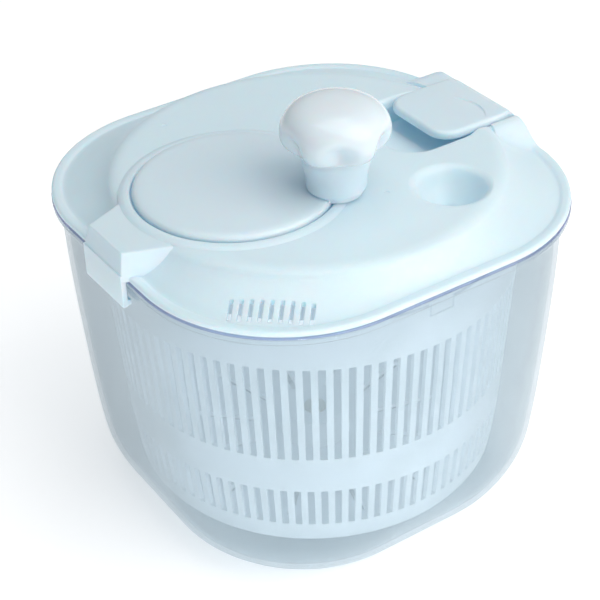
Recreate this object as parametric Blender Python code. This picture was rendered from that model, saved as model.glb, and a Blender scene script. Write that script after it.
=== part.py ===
"""Crank-driven salad spinner: clear rounded-square bowl, slotted basket, geared lid with knob and latch.

Metres, +Z up. The origin is the centre of the bowl's base, on the basket's axis.
+Y is the latch side of the lid and -Y the fixed-hook side. Every solid is one named object.
"""

import math

import bmesh
import bpy
from mathutils import Matrix, Vector

# --- driving dimensions -------------------------------------------------------------------------
GAP = 0.0003  # between neighbours that touch or nearly touch
WALL = 0.0024  # moulded wall of bowl, basket and lid

RIM_HALF = 0.112  # half the bowl's side at its rim
RIM_CORNER = 0.076  # corner radius there
RIM_Z = 0.166
BASE_HALF = 0.082
BASE_CORNER = 0.062
FLOOR_Z = 0.003
FOOT_RECESS = 0.001

DECK_R = 0.096
DECK_Z = 0.180
HOOK_Y = 0.1155  # outer faces of the fixed hook and of the latch
HOOK_LIP_Z = 0.1525
HOOK_X = 0.003  # middle of the fixed hook's block

CRANK_Y = -0.041  # crank shaft, measured from the basket's axis
DISC_R = 0.0487
DISC_WELL_R = 0.0494
RING_R = 0.0538  # outside of the raised ring round the disc
DISC_TOP = 0.1838
KNOB_REACH = 0.0482  # crank shaft to knob axis
KNOB_ANGLE = math.radians(47.1)
KNOB_R = 0.0258
KNOB_TOP = 0.228
KNOB_LOBES = 6

GEAR_TEETH = 42
PINION_TEETH = 12
GEAR_MODULE = 2 * abs(CRANK_Y) / (GEAR_TEETH + PINION_TEETH)
GEAR_Z = (0.1683, 0.1742)
PINION_Z = (0.1672, 0.1746)
COVER_Z = (0.1620, 0.1638)

BASKET_TOP_R = 0.104
BASKET_TOP_Z = 0.155
BASKET_FLOOR_Z = 0.0135
SLOTS = 92
LONG_SLOT_Z = (0.075, 0.131)
SHORT_SLOT_Z = (0.031, 0.054)
NOTCH_DEPTH = 0.006
DRIVE_LUGS = 4
LUG_TURN = math.pi / (2 * SLOTS)  # a notch is two columns of the wall each side of this angle

INLET_X, INLET_Y = 0.0590, 0.0415
INLET_TOP_R, INLET_LOW_R = 0.0180, 0.0074
INLET_LOW_Z = 0.1625
SLIT_COUNT = 9
SLIT_SPACING = 0.0045
SLIT_LENGTH, SLIT_WIDTH = 0.0120, 0.0019
SLIT_REACH = 0.1124  # middle of the row of slits, from the basket's axis
SLIT_ANGLE = math.radians(-42.3)
SLIT_TURN = math.radians(-41.0)  # direction each slit runs in

SCOOP_HALF_W = 0.0275  # dish under the latch's thumb tab
SCOOP_Y = (0.0385, 0.0925)
SCOOP_CORNER = 0.0170
LATCH_HALF_W = 0.0240
LATCH_TAB_Y = 0.0637
POCKET_HALF_W = 0.0249  # space the latch moves in
HINGE_Y, HINGE_Z = 0.1020, 0.1745
COVER_SCREWS = ((-0.0275, -0.0714), (0.0275, -0.0714), (-0.0168, 0.0103), (0.0168, 0.0103))


# --- scene and mesh helpers ---------------------------------------------------------------------
def clear_scene():
    for obj in list(bpy.data.objects):
        bpy.data.objects.remove(obj, do_unlink=True)


def make_material(name, colour, roughness, metallic=0.0, alpha=1.0):
    material = bpy.data.materials.new(name)
    material.use_nodes = True
    shader = material.node_tree.nodes["Principled BSDF"]
    shader.inputs["Base Color"].default_value = (*colour, 1.0)
    shader.inputs["Roughness"].default_value = roughness
    shader.inputs["Metallic"].default_value = metallic
    shader.inputs["Alpha"].default_value = alpha
    return material


def add_object(name, mesh_data, material=None):
    """Closes a bmesh into a named, smooth-shaded object with its faces outward."""
    bmesh.ops.remove_doubles(mesh_data, verts=mesh_data.verts, dist=1e-7)
    bmesh.ops.recalc_face_normals(mesh_data, faces=mesh_data.faces)
    mesh = bpy.data.meshes.new(name)
    mesh_data.to_mesh(mesh)
    mesh_data.free()
    obj = bpy.data.objects.new(name, mesh)
    bpy.context.scene.collection.objects.link(obj)
    if material:
        mesh.materials.append(material)
    mesh.shade_smooth()
    mesh.set_sharp_from_angle(angle=math.radians(35))
    return obj


def rounded_square_radius(angle, half, corner):
    """Distance from the centre to the edge of a rounded square, along a polar angle."""
    folded = angle % (math.pi / 2)
    folded = min(folded, math.pi / 2 - folded)
    inset = half - corner
    if math.tan(folded) * half <= inset:
        return half / math.cos(folded)
    along = inset * (math.cos(folded) + math.sin(folded))
    return along + math.sqrt(along * along - 2 * inset * inset + corner * corner)


def ring_points(half, corner, z, count, centre=(0.0, 0.0)):
    points = []
    for i in range(count):
        angle = 2 * math.pi * i / count
        reach = rounded_square_radius(angle, half, corner)
        points.append(Vector((centre[0] + reach * math.cos(angle), centre[1] + reach * math.sin(angle), z)))
    return points


def loft(name, rings, material=None, closed=False):
    """Skins rings of equal count. closed joins last to first; otherwise both ends are capped."""
    mesh_data = bmesh.new()
    loops = [[mesh_data.verts.new(p) for p in ring] for ring in rings]
    count = len(rings[0])
    pairs = list(zip(loops, loops[1:]))
    if closed:
        pairs.append((loops[-1], loops[0]))
    for low, high in pairs:
        for i in range(count):
            j = (i + 1) % count
            mesh_data.faces.new((low[i], low[j], high[j], high[i]))
    if not closed:
        for ring in (loops[0], loops[-1]):
            middle = sum((v.co for v in ring), Vector()) / count
            hub = mesh_data.verts.new(middle)
            for i in range(count):
                mesh_data.faces.new((ring[i], ring[(i + 1) % count], hub))
    return add_object(name, mesh_data, material)


def turned(name, profile, material=None, count=48, centre=(0.0, 0.0), closed=False):
    """A solid of revolution about a vertical axis, from (radius, z) pairs."""
    return loft(name, [ring_points(r, r, z, count, centre) for r, z in profile], material, closed)


def prism(name, outline, low, high, material=None):
    """An upright prism on a closed outline of (x, y) points."""
    return loft(name, [[Vector((x, y, z)) for x, y in outline] for z in (low, high)], material)


def box(name, low, high, material=None, bevel=0.0):
    corners = [(low[0], low[1]), (high[0], low[1]), (high[0], high[1]), (low[0], high[1])]
    mesh_data = bmesh.new()
    base = [mesh_data.verts.new((x, y, low[2])) for x, y in corners]
    face = mesh_data.faces.new(base)
    lifted = bmesh.ops.extrude_face_region(mesh_data, geom=[face])["geom"]
    verts = [g for g in lifted if isinstance(g, bmesh.types.BMVert)]
    bmesh.ops.translate(mesh_data, verts=verts, vec=(0, 0, high[2] - low[2]))
    if bevel:
        bmesh.ops.bevel(mesh_data, geom=mesh_data.edges[:], offset=bevel, segments=2, affect="EDGES")
    return add_object(name, mesh_data, material)


def tube_profile(outer, inner, low, high):
    return [(outer, low), (outer, high), (inner, high), (inner, low)]


def triangulate(mesh):
    """Leaves only triangles, and merges the points that a cut left on top of each other."""
    mesh_data = bmesh.new()
    mesh_data.from_mesh(mesh)
    bmesh.ops.triangulate(mesh_data, faces=mesh_data.faces)
    bmesh.ops.remove_doubles(mesh_data, verts=mesh_data.verts, dist=1e-6)
    mesh_data.to_mesh(mesh)
    mesh_data.free()


def combine(target, tool, operation):
    """Applies one Boolean and removes the tool."""
    modifier = target.modifiers.new(operation, "BOOLEAN")
    modifier.operation = operation
    modifier.solver = "EXACT"
    modifier.object = tool
    graph = bpy.context.evaluated_depsgraph_get()
    result = bpy.data.meshes.new_from_object(target.evaluated_get(graph))
    target.modifiers.clear()
    target.data = result
    triangulate(result)
    bpy.data.objects.remove(tool, do_unlink=True)
    result.shade_smooth()
    result.set_sharp_from_angle(angle=math.radians(35))


def join(target, *tools):
    for tool in tools:
        combine(target, tool, "UNION")


def cut(target, *tools):
    for tool in tools:
        combine(target, tool, "DIFFERENCE")


def place_origin(obj, point):
    """Moves the object's origin to a point without moving its shape."""
    point = Vector(point)
    obj.data.transform(Matrix.Translation(-point))
    obj.location = point


def polar(radius, angle, centre=(0.0, 0.0)):
    return centre[0] + radius * math.cos(angle), centre[1] + radius * math.sin(angle)


# --- bowl and basket ----------------------------------------------------------------------------
def make_bowl(material):
    """Rounded-square bowl: walls curve in to a smaller base, a flared rim and a pivot cone inside."""
    outside = (
        (BASE_HALF, BASE_CORNER, 0.0),
        (0.0885, 0.067, 0.0030),
        (0.0955, 0.072, 0.0120),
        (0.1010, 0.075, 0.0250),
        (0.1036, 0.077, 0.0400),
        (0.1060, 0.078, 0.0700),
        (0.1084, 0.077, 0.1200),
        (0.1094, 0.0765, 0.1590),
        (RIM_HALF, RIM_CORNER, 0.1622),
        (RIM_HALF, RIM_CORNER, RIM_Z),
    )
    rings = [ring_points(half, corner, z, 40) for half, corner, z in outside]
    rings.append(ring_points(RIM_HALF - WALL, RIM_CORNER - WALL, RIM_Z, 40))
    rings.append(ring_points(RIM_HALF - WALL, RIM_CORNER - WALL, 0.1630, 40))
    for half, corner, z in reversed(outside[2:8]):
        rings.append(ring_points(half - WALL, corner - WALL, z + 0.0008, 40))
    rings.append(ring_points(0.0850, 0.064, 0.0052, 40))
    rings.append(ring_points(0.0780, 0.059, FLOOR_Z, 40))
    bowl = loft("bowl", rings, material)
    cone = turned("cone", [(0.0105, FLOOR_Z - 0.001), (0.0085, 0.0150), (0.0035, 0.0215)], count=24)
    join(bowl, cone)
    foot = turned("foot", [(0.060, -0.001), (0.060, FOOT_RECESS)], count=48)
    cut(bowl, foot)
    return bowl


def basket_radius(z):
    """Outside radius of the basket's wall at a height."""
    stations = ((0.022, 0.0932), (0.031, 0.0946), (0.054, 0.0970), (0.075, 0.0985))
    stations += ((0.131, 0.1027), (BASKET_TOP_Z, BASKET_TOP_R))
    for (z0, r0), (z1, r1) in zip(stations, stations[1:]):
        if z <= z1:
            return r0 + (r1 - r0) * (z - z0) / (z1 - z0)
    return stations[-1][1]


def make_basket(material):
    """Round basket whose wall is open at two rows of slots, with notches for the drive lugs."""
    columns = 2 * SLOTS
    notch_z = BASKET_TOP_Z - NOTCH_DEPTH
    heights = (0.022, *SHORT_SLOT_Z, *LONG_SLOT_Z, notch_z, BASKET_TOP_Z)
    mesh_data = bmesh.new()

    def ring(radius, z):
        spots = [polar(radius, 2 * math.pi * (i + 0.5) / columns) for i in range(columns)]
        return [mesh_data.verts.new((x, y, z)) for x, y in spots]

    outer = [ring(0.0820, BASKET_FLOOR_Z)] + [ring(basket_radius(z), z) for z in heights]
    inner = [ring(0.0810, BASKET_FLOOR_Z + WALL)] + [ring(basket_radius(z) - WALL, z) for z in heights]
    per_lug = columns // DRIVE_LUGS
    slot_rows = (2, 4)
    notch_row = len(heights) - 1

    def is_open(row, column):
        if row in slot_rows:
            return column % 2 == 1
        return row == notch_row and (column + 2) % per_lug < 4

    for row in range(len(outer) - 1):
        for i in range(columns):
            j = (i + 1) % columns
            if not is_open(row, i):
                mesh_data.faces.new((outer[row][i], outer[row][j], outer[row + 1][j], outer[row + 1][i]))
                mesh_data.faces.new((inner[row][j], inner[row][i], inner[row + 1][i], inner[row + 1][j]))
                continue
            if not is_open(row, i - 1):
                mesh_data.faces.new((outer[row][i], outer[row + 1][i], inner[row + 1][i], inner[row][i]))
            if not is_open(row, j):
                mesh_data.faces.new((outer[row + 1][j], outer[row][j], inner[row][j], inner[row + 1][j]))
            mesh_data.faces.new((outer[row][j], outer[row][i], inner[row][i], inner[row][j]))
            if row != notch_row:
                above, under = outer[row + 1], inner[row + 1]
                mesh_data.faces.new((above[i], above[j], under[j], under[i]))
    for i in range(columns):
        j = (i + 1) % columns
        if not is_open(notch_row, i):
            mesh_data.faces.new((outer[-1][i], outer[-1][j], inner[-1][j], inner[-1][i]))
    for loop in (outer[0], inner[0]):
        middle = mesh_data.verts.new((0.0, 0.0, loop[0].co.z))
        for i in range(columns):
            mesh_data.faces.new((loop[i], loop[(i + 1) % columns], middle))
    basket = add_object("basket", mesh_data, material)
    hub = turned("hub", [(0.0185, 0.0145), (0.0155, 0.0275), (0.0125, 0.0290)], count=24)
    join(basket, hub)
    seat = [(0.0128, 0.012), (0.0128, 0.0249), (0.0061, 0.0249), (0.0061, 0.031)]
    cut(basket, turned("seat", seat, count=24))
    for i in range(12):
        radial = box("radial", (0.034, -0.0018, 0.010), (0.072, 0.0018, 0.018))
        radial.matrix_world = Matrix.Rotation(2 * math.pi * (i + 0.5) / 12, 4, "Z")
        cut(basket, radial)
    return basket


def make_pivot_bush(material):
    """Bearing cup that sits on the bowl's cone and carries the turning basket."""
    outside = [(0.0125, 0.0120), (0.0125, 0.0246), (0.0058, 0.0246), (0.0058, 0.0300)]
    bush = turned("pivot_bush", outside, material, 24)
    cone = [(0.0111, 0.0110), (0.0111, 0.01205), (0.0089, 0.0154), (0.0039, 0.0219)]
    cut(bush, turned("cone_recess", cone, count=24))
    return bush


# --- drive train --------------------------------------------------------------------------------
def involute_flank(base_radius, radius):
    """Angle an involute has turned by the time it reaches a radius."""
    if radius <= base_radius:
        return 0.0
    roll = math.sqrt((radius / base_radius) ** 2 - 1)
    return roll - math.atan(roll)


def gear_outline(teeth, tooth_at, centre):
    """Spur gear outline with involute flanks, one tooth centred on the given angle."""
    pressure = math.radians(24)
    backlash = 0.00022
    pitch_r = GEAR_MODULE * teeth / 2
    base_r = pitch_r * math.cos(pressure)
    root_r = pitch_r - 1.12 * GEAR_MODULE
    tip_r = pitch_r + 0.82 * GEAR_MODULE
    half_at_pitch = math.pi / (2 * teeth) - backlash / pitch_r
    steps = (root_r, pitch_r, tip_r)
    half = [half_at_pitch + involute_flank(base_r, pitch_r) - involute_flank(base_r, r) for r in steps]
    points = []
    for tooth in range(teeth):
        middle = tooth_at + 2 * math.pi * tooth / teeth
        points += [polar(r, middle - h, centre) for r, h in zip(steps, half)]
        points += [polar(r, middle + h, centre) for r, h in reversed(list(zip(steps, half)))]
    return points


def hexagon(across_corners, centre=(0.0, 0.0)):
    return [polar(across_corners, math.pi * i / 3, centre) for i in range(6)]


def make_drive_gear(material):
    centre = (0.0, CRANK_Y)
    tooth_at = math.pi / 2 + math.pi / GEAR_TEETH
    gear = prism("drive_gear", gear_outline(GEAR_TEETH, tooth_at, centre), *GEAR_Z, material)
    cut(gear, prism("socket", hexagon(0.0078, centre), 0.1700, 0.1800))
    cut(gear, turned("screw_way", [(0.0024, 0.1600), (0.0024, 0.1720)], count=16, centre=centre))
    for low, high in ((0.1673, 0.1698), (0.1727, 0.1752)):
        web = turned("web", tube_profile(0.0275, 0.0125, low, high), count=32, centre=centre, closed=True)
        cut(gear, web)
    place_origin(gear, (*centre, GEAR_Z[0]))
    return gear


def make_drive_pinion(material):
    """Pinion with a round journal and a hexagonal end that enters the spider's hub."""
    pinion = prism("drive_pinion", gear_outline(PINION_TEETH, -math.pi / 2, (0.0, 0.0)), *PINION_Z, material)
    journal = turned("journal", [(0.0058, 0.1595), (0.0058, 0.1680)], count=24)
    end = prism("end", hexagon(0.0052), 0.1565, 0.1600)
    join(pinion, journal, end)
    cut(pinion, turned("screw_way", [(0.0016, 0.1560), (0.0016, 0.1660)], count=12))
    return pinion


def make_drive_spider(material):
    """Ring, four arms and hub that sit over the basket; lugs drop into the basket's notches."""
    ring = tube_profile(0.1030, 0.0915, 0.1554, 0.1590)
    spider = turned("drive_spider", ring, material, 48, closed=True)
    hub = turned("hub", [(0.0135, 0.1520), (0.0135, 0.1602)], count=32)
    join(spider, box("arm", (-0.0930, -0.007, 0.1554), (0.0930, 0.007, 0.1588)))
    join(spider, box("arm", (-0.007, -0.0930, 0.1554), (0.007, 0.0930, 0.1588)), hub)
    for i in range(DRIVE_LUGS):
        lug = box("lug", (0.0975, -0.0060, BASKET_TOP_Z - NOTCH_DEPTH + 0.0008), (0.1036, 0.0060, 0.1575))
        lug.matrix_world = Matrix.Rotation(2 * math.pi * i / DRIVE_LUGS + LUG_TURN, 4, "Z")
        join(spider, lug)
    cut(spider, prism("socket", hexagon(0.0056), 0.1562, 0.1610))
    cut(spider, turned("journal_way", [(0.0062, 0.1592), (0.0062, 0.1610)], count=24))
    cut(spider, turned("screw_way", [(0.0019, 0.1510), (0.0019, 0.1570)], count=12))
    cut(spider, turned("head_way", [(0.0045, 0.1510), (0.0045, 0.1542)], count=16))
    return spider


def make_screw(name, head, shank, centre, material, head_down=True):
    """Pan-head screw from (radius, low, high) of head and shank, with a cross recess."""
    head_r, head_low, head_high = head
    shank_r, shank_low, shank_high = shank
    if head_down:
        profile = [(head_r * 0.7, head_low), (head_r, head_low + 0.0006), (head_r, head_high)]
        profile += [(shank_r, head_high), (shank_r, shank_high - 0.0008), (shank_r * 0.5, shank_high)]
        recess_z = (head_low - 0.001, head_low + 0.0009)
    else:
        profile = [(shank_r * 0.5, shank_low), (shank_r, shank_low + 0.0008), (shank_r, head_low)]
        profile += [(head_r, head_low), (head_r, head_high - 0.0006), (head_r * 0.7, head_high)]
        recess_z = (head_high - 0.0009, head_high + 0.001)
    screw = turned(name, profile, material, 10, centre)
    arm, half = head_r * 0.55, 0.0004
    for reach in ((arm, half), (half, arm)):
        low = (centre[0] - reach[0], centre[1] - reach[1], recess_z[0])
        high = (centre[0] + reach[0], centre[1] + reach[1], recess_z[1])
        cut(screw, box("recess", low, high))
    return screw


def make_gear_cover(material):
    """Shallow tray under the lid that closes the gear space and carries the pinion's bearing."""
    outline = tray_outline(0.0)
    tray = prism("gear_cover", outline, COVER_Z[0], 0.1748, material)
    cut(tray, prism("hollow", tray_outline(-0.0020), COVER_Z[1], 0.1770))
    bearing = turned("bearing", [(0.0090, 0.1612), (0.0090, COVER_Z[1] - 0.0002)], count=24)
    join(tray, bearing)
    cut(tray, turned("bearing_way", [(0.0061, 0.1590), (0.0061, 0.1660)], count=24))
    for x, y in COVER_SCREWS:
        join(tray, turned("ear", [(0.0050, COVER_Z[0]), (0.0050, COVER_Z[1])], count=16, centre=(x, y)))
        cut(tray, turned("boss_way", [(0.0044, COVER_Z[1]), (0.0044, 0.1760)], count=16, centre=(x, y)))
        cut(tray, turned("hole", [(0.0018, 0.1600), (0.0018, 0.1660)], count=12, centre=(x, y)))
    return tray


def tray_outline(grow):
    """Tangent outline round the gear's circle and the pinion's circle."""
    big, small = 0.0385 + grow, 0.0170 + grow
    lean = math.asin((big - small) / abs(CRANK_Y))
    points = []
    for i in range(17):
        angle = math.pi - lean + (math.pi + 2 * lean) * i / 16
        points.append(polar(big, angle, (0.0, CRANK_Y)))
    for i in range(9):
        angle = lean + (math.pi - 2 * lean) * i / 8
        points.append(polar(small, angle))
    return points


# --- lid ----------------------------------------------------------------------------------------
def blend_ring(share, z, inner_r, half, corner, count):
    """Ring part of the way from a circle to a rounded square."""
    points = []
    for i in range(count):
        angle = 2 * math.pi * i / count
        reach = inner_r * (1 - share) + rounded_square_radius(angle, half, corner) * share
        points.append(Vector((*polar(reach, angle), z)))
    return points


def make_lid_shell(material):
    """Round deck that slopes out to a rounded-square flange, with every moulded feature of the lid."""
    count = 56
    top = ((0.0, 0.0895, DECK_Z), (0.0, 0.0940, 0.17955), (0.0, DECK_R + 0.0006, 0.1782))
    top += ((0.35, 0, 0.1738), (0.75, 0, 0.1694), (1.0, 0, 0.1678))
    rings = []
    for share, radius, z in top:
        rings.append(blend_ring(share, z, radius or DECK_R + 0.0006, 0.1062, 0.0705, count))
    lip = ((0.1080, 0.0722, 0.1686), (0.1100, 0.0740, 0.1692), (0.1118, 0.0758, 0.1684))
    lip += ((0.1118, 0.0758, 0.1666),)
    rings += [ring_points(half, corner, z, count) for half, corner, z in lip]
    under = ((0.1086, 0.0730, 0.1665), (0.1086, 0.0730, 0.1634), (0.1068, 0.0712, 0.1634))
    under += ((0.1064, 0.0708, 0.1655),)
    rings += [ring_points(half, corner, z, count) for half, corner, z in under]
    inside = ((0.75, 0, 0.1671), (0.35, 0, 0.1714), (0.0, DECK_R - 0.0018, 0.1764), (0.0, 0.0895, 0.1776))
    for share, radius, z in inside:
        rings.append(blend_ring(share, z, radius or DECK_R - 0.0018, 0.1050, 0.0694, count))
    lid = loft("lid_shell", rings, material)
    add_disc_seat(lid)
    add_inlet(lid)
    add_hook_block(lid)
    add_latch_seat(lid)
    add_cover_bosses(lid)
    cut_drain_slits(lid)
    return lid


def add_disc_seat(lid):
    """Well and raised ring that the crank disc turns in, with the shaft's hole."""
    centre = (0.0, CRANK_Y)
    join(lid, turned("seat", [(RING_R - 0.0010, 0.1753), (RING_R - 0.0010, 0.1795)], count=40, centre=centre))
    ring = [(RING_R, 0.1790), (RING_R - 0.0010, 0.1806), (RING_R - 0.0022, 0.1811)]
    ring += [(DISC_WELL_R + 0.0008, 0.1811), (DISC_WELL_R - 0.0010, 0.1790)]
    join(lid, turned("ring", ring, count=40, centre=centre, closed=True))
    cut(lid, turned("well", [(DISC_WELL_R, 0.1783), (DISC_WELL_R, 0.1850)], count=40, centre=centre))
    cut(lid, turned("shaft_way", [(0.0096, 0.1700), (0.0096, 0.1800)], count=24, centre=centre))


def add_inlet(lid):
    """Funnel that water is poured through while the basket turns."""
    centre = (INLET_X, INLET_Y)
    funnel = [(INLET_LOW_R + WALL, INLET_LOW_Z), (0.0130, 0.1668), (0.0172, 0.1740), (0.0215, 0.1790)]
    join(lid, turned("funnel", funnel, count=24, centre=centre))
    hole = [(INLET_LOW_R, 0.1600), (INLET_LOW_R + 0.0006, 0.1640), (0.0104, 0.1668), (0.0132, 0.1712)]
    hole += [(0.0152, 0.1755), (INLET_TOP_R - 0.0012, 0.1785), (INLET_TOP_R + 0.0008, 0.1802)]
    hole += [(INLET_TOP_R + 0.0008, 0.1840)]
    cut(lid, turned("hole", hole, count=24, centre=centre))


def add_hook_block(lid):
    """Block at deck level that runs out over the rim and down outside it to a hook."""
    rings = []
    foot, head = (0.0180, 0.0265, HOOK_Y, 0.1668), (0.0152, 0.0232, 0.1125, DECK_Z - 0.0002)
    for outer, inner, reach, z in (foot, head):
        outline = ((-outer, -reach), (outer, -reach), (inner, -0.0940), (-inner, -0.0940))
        rings.append([Vector((HOOK_X + x, y, z)) for x, y in outline])
    join(lid, loft("block", rings))
    low, high = HOOK_X - 0.0178, HOOK_X + 0.0178
    join(lid, box("skirt", (low, 0.0002 - HOOK_Y, HOOK_LIP_Z), (high, -0.1125, 0.1700)))
    join(lid, box("lip", (low + 0.0003, -0.1140, HOOK_LIP_Z + 0.0004), (high - 0.0003, -0.1105, 0.1560)))
    rings = []
    for half, reach, z in ((0.0150, 0.1100, 0.150), (0.0150, 0.1100, 0.1670), (0.0130, 0.1085, 0.1774)):
        outline = ((-half, -reach), (half, -reach), (half + 0.006, -0.0900), (-half - 0.006, -0.0900))
        rings.append([Vector((HOOK_X + x, y, z)) for x, y in outline])
    cut(lid, loft("hollow", rings))


def seat_rings(inset):
    """Shoulders that fall away on both sides of the latch, as outlines from low to high."""
    stations = ((0.0430, 0.1080, 0.1668), (0.0395, 0.1086, 0.1715), (0.0355, 0.1092, 0.1755))
    stations += ((0.0315, 0.1095, 0.1785), (0.0278, 0.1095, DECK_Z - 0.0002))
    rings = []
    for half, reach, z in stations:
        half, reach = half - inset, reach - inset
        outline = ((-half, 0.0880), (half, 0.0880), (half, reach - 0.006), (half - 0.004, reach))
        outline += ((0.004 - half, reach), (-half, reach - 0.006))
        rings.append([Vector((x, y, z)) for x, y in outline])
    return rings


def add_latch_seat(lid):
    """Raised seat for the latch, the dish under its thumb tab, and the hinge pin's cheeks."""
    join(lid, loft("seat", seat_rings(0.0)))
    join(lid, box("pan", (-0.0272, 0.0620, 0.1640), (0.0272, 0.1074, 0.1790)))
    outside = scoop("scoop_outside", 0.0022, 0.0024)
    combine(outside, box("below_deck", (-0.04, 0.03, 0.15), (0.04, 0.11, 0.1788)), "INTERSECT")
    join(lid, outside)
    cut(lid, scoop("scoop", 0.0, 0.0))
    cut(lid, box("pocket", (-POCKET_HALF_W, 0.0640, 0.1672), (POCKET_HALF_W, 0.1045, 0.1850)))
    cut(lid, box("outer_pocket", (-POCKET_HALF_W, 0.1040, 0.1688), (POCKET_HALF_W, 0.1135, 0.1850)))
    bore = turned("bore", [(0.00135, -0.0266), (0.00135, 0.0266)], count=12)
    bore.matrix_world = Matrix.Translation((0, HINGE_Y, HINGE_Z)) @ Matrix.Rotation(math.pi / 2, 4, "Y")
    cut(lid, bore)


def scoop(name, grow, drop):
    """Dish with a rounded-rectangle edge; grow and drop offset it to make the wall's outside."""
    rings = []
    for inset, z in ((0.0145, 0.1682), (0.0090, 0.1690), (0.0042, 0.1722), (0.0010, 0.1768), (0.0, 0.1820)):
        half, corner = SCOOP_HALF_W - inset + grow, SCOOP_CORNER - inset * 0.6 + grow
        low_y, high_y = SCOOP_Y[0] + inset - grow, SCOOP_Y[1] - inset + grow
        outline = []
        for sx, sy in ((1, 1), (-1, 1), (-1, -1), (1, -1)):
            middle = (sx * (half - corner), (high_y - corner if sy > 0 else low_y + corner))
            start = {(1, 1): 0, (-1, 1): 1, (-1, -1): 2, (1, -1): 3}[(sx, sy)] * math.pi / 2
            outline += [polar(corner, start + math.pi / 2 * i / 5, middle) for i in range(6)]
        rings.append([Vector((x, y, z - drop)) for x, y in outline])
    return loft(name, rings)


def add_cover_bosses(lid):
    for x, y in COVER_SCREWS:
        join(lid, turned("boss", [(0.0040, COVER_Z[1] + GAP), (0.0040, 0.1765)], count=16, centre=(x, y)))
        cut(lid, turned("pilot", [(0.0016, 0.1600), (0.0016, 0.1740)], count=12, centre=(x, y)))


def cut_drain_slits(lid):
    """Narrow slits through the front corner's flange, where spun-out water is poured off."""
    middle = Vector((*polar(SLIT_REACH, SLIT_ANGLE), 0.0))
    across = Vector((*polar(SLIT_SPACING, SLIT_TURN + math.pi / 2), 0.0))
    half_l, half_w = SLIT_LENGTH / 2, SLIT_WIDTH / 2
    for i in range(SLIT_COUNT):
        spot = middle + across * (i - (SLIT_COUNT - 1) / 2)
        slit = box("slit", (-half_l, -half_w, 0.1560), (half_l, half_w, 0.1850))
        slit.matrix_world = Matrix.Translation(spot) @ Matrix.Rotation(SLIT_TURN, 4, "Z")
        cut(lid, slit)


# --- crank and knob -----------------------------------------------------------------------------
def knob_centre():
    return polar(KNOB_REACH, KNOB_ANGLE, (0.0, CRANK_Y))


def make_crank_disc(material):
    """Domed disc with the ear and stem that carry the knob, and a hexagonal shaft below."""
    centre = (0.0, CRANK_Y)
    profile = [(DISC_R - 0.0012, 0.1786), (DISC_R, 0.1798), (DISC_R, 0.1816), (DISC_R - 0.0012, 0.1828)]
    profile += [(DISC_R - 0.0040, 0.1834), (0.0200, DISC_TOP)]
    disc = turned("crank_disc", profile, material, 40, centre)
    join(disc, turned("shaft", [(0.0092, 0.1746), (0.0092, 0.1790)], count=24, centre=centre))
    join(disc, prism("hex", hexagon(0.0075, centre), 0.1703, 0.1771))
    cut(disc, turned("pilot", [(0.0018, 0.1700), (0.0018, 0.1800)], count=12, centre=centre))
    knob_xy = knob_centre()
    stem = [(0.0132, 0.1820), (0.0134, 0.1839), (0.0144, 0.1852), (0.0148, 0.1940), (0.0170, 0.2037)]
    join(disc, turned("stem", stem, count=24, centre=knob_xy))
    cut(disc, turned("axle_way", [(0.0024, 0.1890), (0.0024, 0.2070)], count=12, centre=knob_xy))
    place_origin(disc, (*centre, DISC_TOP))
    return disc


def lobe_reach(radius, angle, depth):
    """Knob outline: round lobes between shallow flutes."""
    return radius * (1 - depth * (0.5 - 0.5 * math.cos(KNOB_LOBES * angle)) ** 1.6)


def make_knob_cap(material):
    """Mushroom cap with lobes, hollow below, turning on the stem's axle screw."""
    x, y = knob_centre()
    stations = ((0.0178, 0.2042, 0.02), (0.0218, 0.2050, 0.11), (0.0249, 0.2088, 0.17))
    stations += ((KNOB_R, 0.2132, 0.15), (0.0252, 0.2173, 0.07), (0.0226, 0.2220, 0.01))
    stations += ((0.0168, 0.2260, 0.0), (0.0080, KNOB_TOP, 0.0))
    rings = []
    for radius, z, depth in stations:
        ring = []
        for i in range(36):
            angle = 2 * math.pi * i / 36
            ring.append(Vector((*polar(lobe_reach(radius, angle, depth), angle, (x, y)), z)))
        rings.append(ring)
    cap = loft("knob_cap", rings, material)
    cut(cap, turned("bush_way", [(0.0081, 0.2030), (0.0081, 0.2170)], count=24, centre=(x, y)))
    place_origin(cap, (x, y, 0.2042))
    return cap


def make_washer(name, outer, inner, low, high, centre, material):
    return turned(name, tube_profile(outer, inner, low, high), material, 24, centre, closed=True)


# --- latch --------------------------------------------------------------------------------------
def make_latch(material):
    """Rocking latch: thumb tab inside, hinge pin in the middle, hook outside the rim."""
    tab_z, plate_z = 0.1822, 0.1806
    plate = LATCH_HALF_W - 0.0010
    latch = box("latch", (-plate, LATCH_TAB_Y + 0.006, 0.1776), (plate, 0.1060, plate_z))
    outline = rounded_outline(LATCH_HALF_W, LATCH_TAB_Y, 0.0980, 0.0110)
    join(latch, prism("tab", outline, 0.1774, tab_z))
    arm = ((0.1040, 0.1778), (0.1040, plate_z - 0.0001), (0.1086, plate_z - 0.0001), (HOOK_Y, 0.1730))
    arm += ((HOOK_Y, HOOK_LIP_Z), (0.1108, HOOK_LIP_Z), (0.1108, 0.1558), (0.1128, 0.1558))
    arm += ((0.1128, 0.1712), (0.1078, 0.1778))
    join(latch, side_prism("arm", arm, LATCH_HALF_W - 0.0012))
    for x in (-0.0160, 0.0160):
        low, high = (x - 0.0025, HINGE_Y - 0.0032, 0.1712), (x + 0.0025, HINGE_Y + 0.0032, 0.1790)
        join(latch, box("knuckle", low, high))
    bore = turned("bore", [(0.00135, -0.0300), (0.00135, 0.0300)], count=12)
    bore.matrix_world = Matrix.Translation((0, HINGE_Y, HINGE_Z)) @ Matrix.Rotation(math.pi / 2, 4, "Y")
    cut(latch, bore)
    place_origin(latch, (0.0, HINGE_Y, HINGE_Z))
    return latch


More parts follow.
